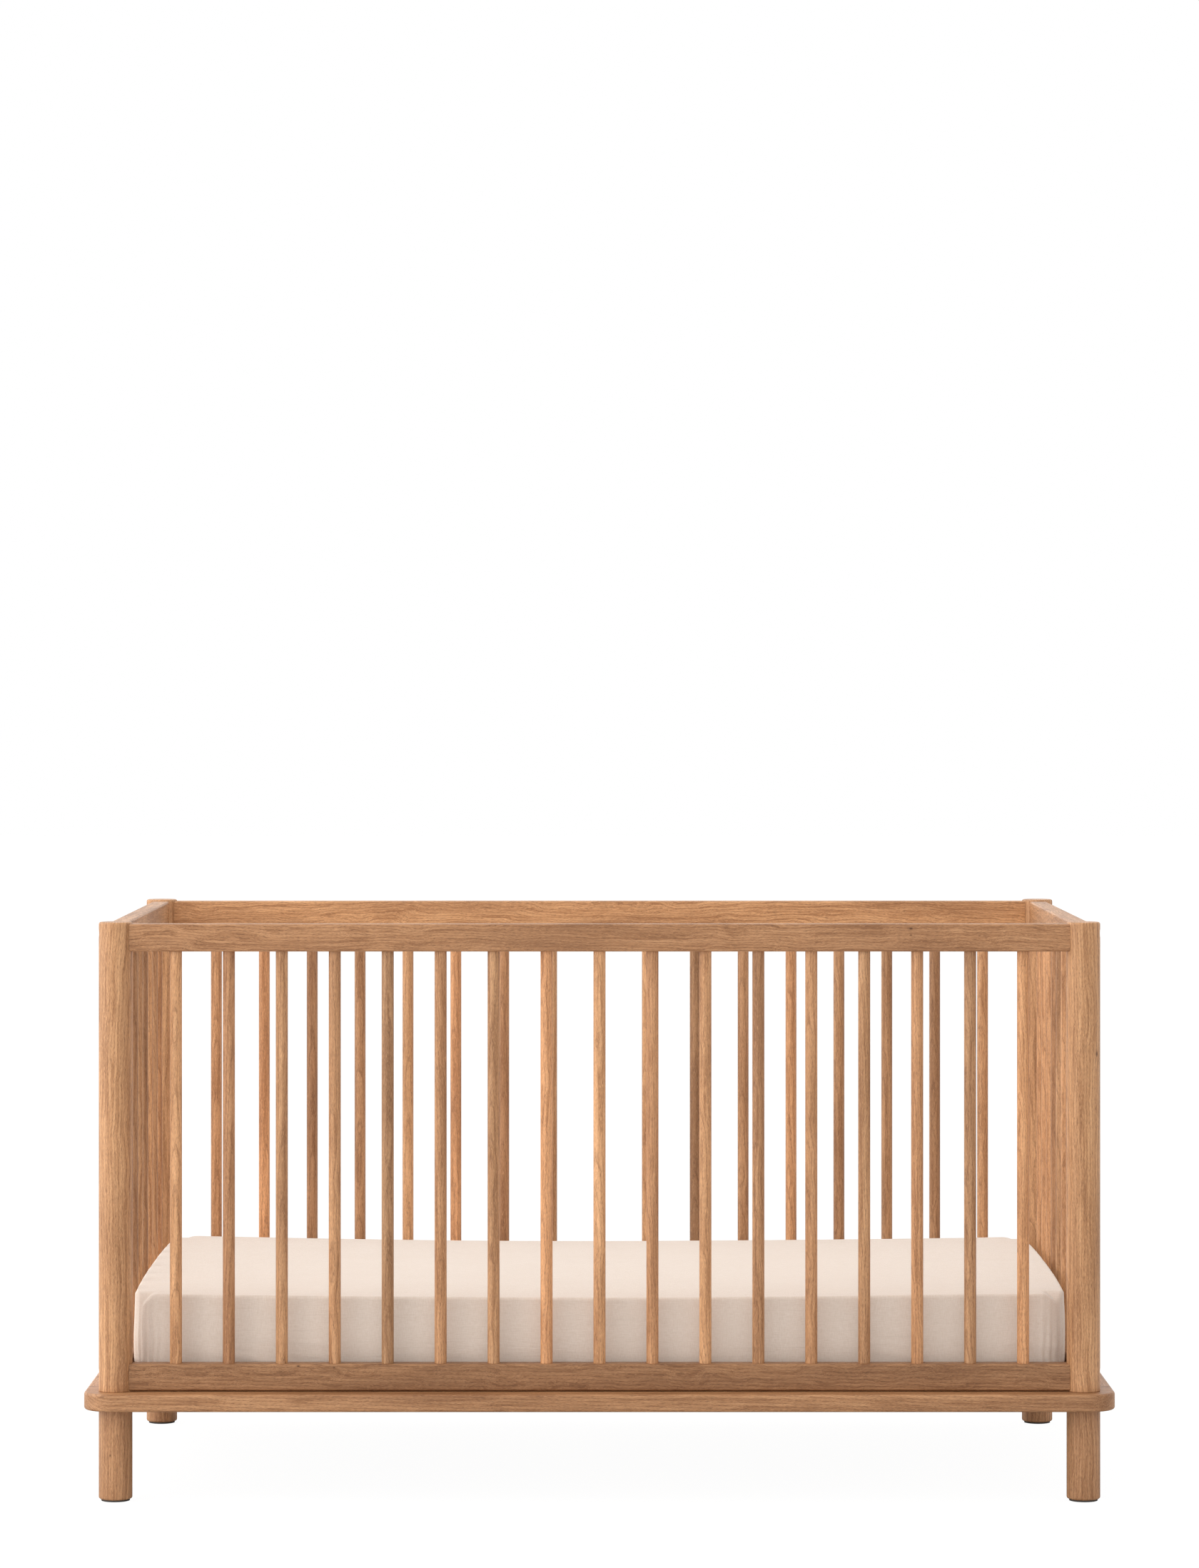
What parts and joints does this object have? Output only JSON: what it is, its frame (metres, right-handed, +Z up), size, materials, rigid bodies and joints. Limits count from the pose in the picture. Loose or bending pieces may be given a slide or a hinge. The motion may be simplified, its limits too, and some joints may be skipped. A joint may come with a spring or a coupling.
{
  "type": "baby crib",
  "caption": "Solid oak baby crib with round posts, railed spindle sides, a plinth on short round legs, a loose slatted base and a mattress in a fitted sheet.",
  "frame": {"origin": "centre of the crib's footprint, on the floor under its leg glides", "axes": "+X along the crib's length, +Y from its front side to its back side, +Z up"},
  "size_m": [1.443, 0.817, 0.81],
  "materials": {
    "oak_posts": "satin",
    "oak_rails": "satin",
    "oak_spindles": "satin",
    "oak_plinth": "satin",
    "oak_legs": "satin",
    "base_wood": "satin",
    "beech": "matte",
    "glide": "matte",
    "steel": "satin",
    "brass": "satin",
    "foam": "matte",
    "cover_fabric": "matte",
    "sheet_fabric": "matte"
  },
  "bodies": {
    "frame": {"post_front_left": "oak_posts", "post_front_right": "oak_posts", "post_back_left": "oak_posts", "post_back_right": "oak_posts", "top_rail_front": "oak_rails", "top_rail_back": "oak_rails", "top_rail_left": "oak_rails", "top_rail_right": "oak_rails", "bottom_rail_front": "oak_rails", "bottom_rail_back": "oak_rails", "bottom_rail_left": "oak_rails", "bottom_rail_right": "oak_rails", "spindles_front": "oak_spindles", "spindles_back": "oak_spindles", "spindles_left": "oak_spindles", "spindles_right": "oak_spindles", "plinth_front": "oak_plinth", "plinth_back": "oak_plinth", "plinth_left": "oak_plinth", "plinth_right": "oak_plinth", "leg_front_left": "oak_legs", "leg_front_right": "oak_legs", "leg_back_left": "oak_legs", "leg_back_right": "oak_legs", "leg_glides": "glide", "leg_studs": "steel", "stud_inserts": "steel", "rail_bolts": "steel", "barrel_nuts": "steel", "rail_dowels": "beech", "plinth_dowels": "beech", "support_inserts": "brass"},
    "mattress_base": {"base_bar_front": "base_wood", "base_bar_back": "base_wood", "base_bar_left": "base_wood", "base_bar_right": "base_wood", "slat_1": "base_wood", "slat_2": "base_wood", "slat_3": "base_wood", "slat_4": "base_wood", "slat_5": "base_wood", "slat_6": "base_wood", "slat_7": "base_wood", "slat_8": "base_wood", "slat_9": "base_wood", "slat_10": "base_wood", "slat_11": "base_wood", "slat_12": "base_wood", "slat_screws": "steel", "base_dowels": "beech"},
    "mattress": {"mattress_core": "foam", "mattress_cover": "cover_fabric", "fitted_sheet": "sheet_fabric"}
  },
  "joints": [
    {"name": "base_height", "type": "slide", "parent": "frame", "child": "mattress_base", "axis": [0, 0, 1], "range_m": [0, 0.25]},
    {"name": "mattress_lift", "type": "slide", "parent": "mattress_base", "child": "mattress", "axis": [0, 0, 1], "range_m": [0, 0.66]}
  ]
}
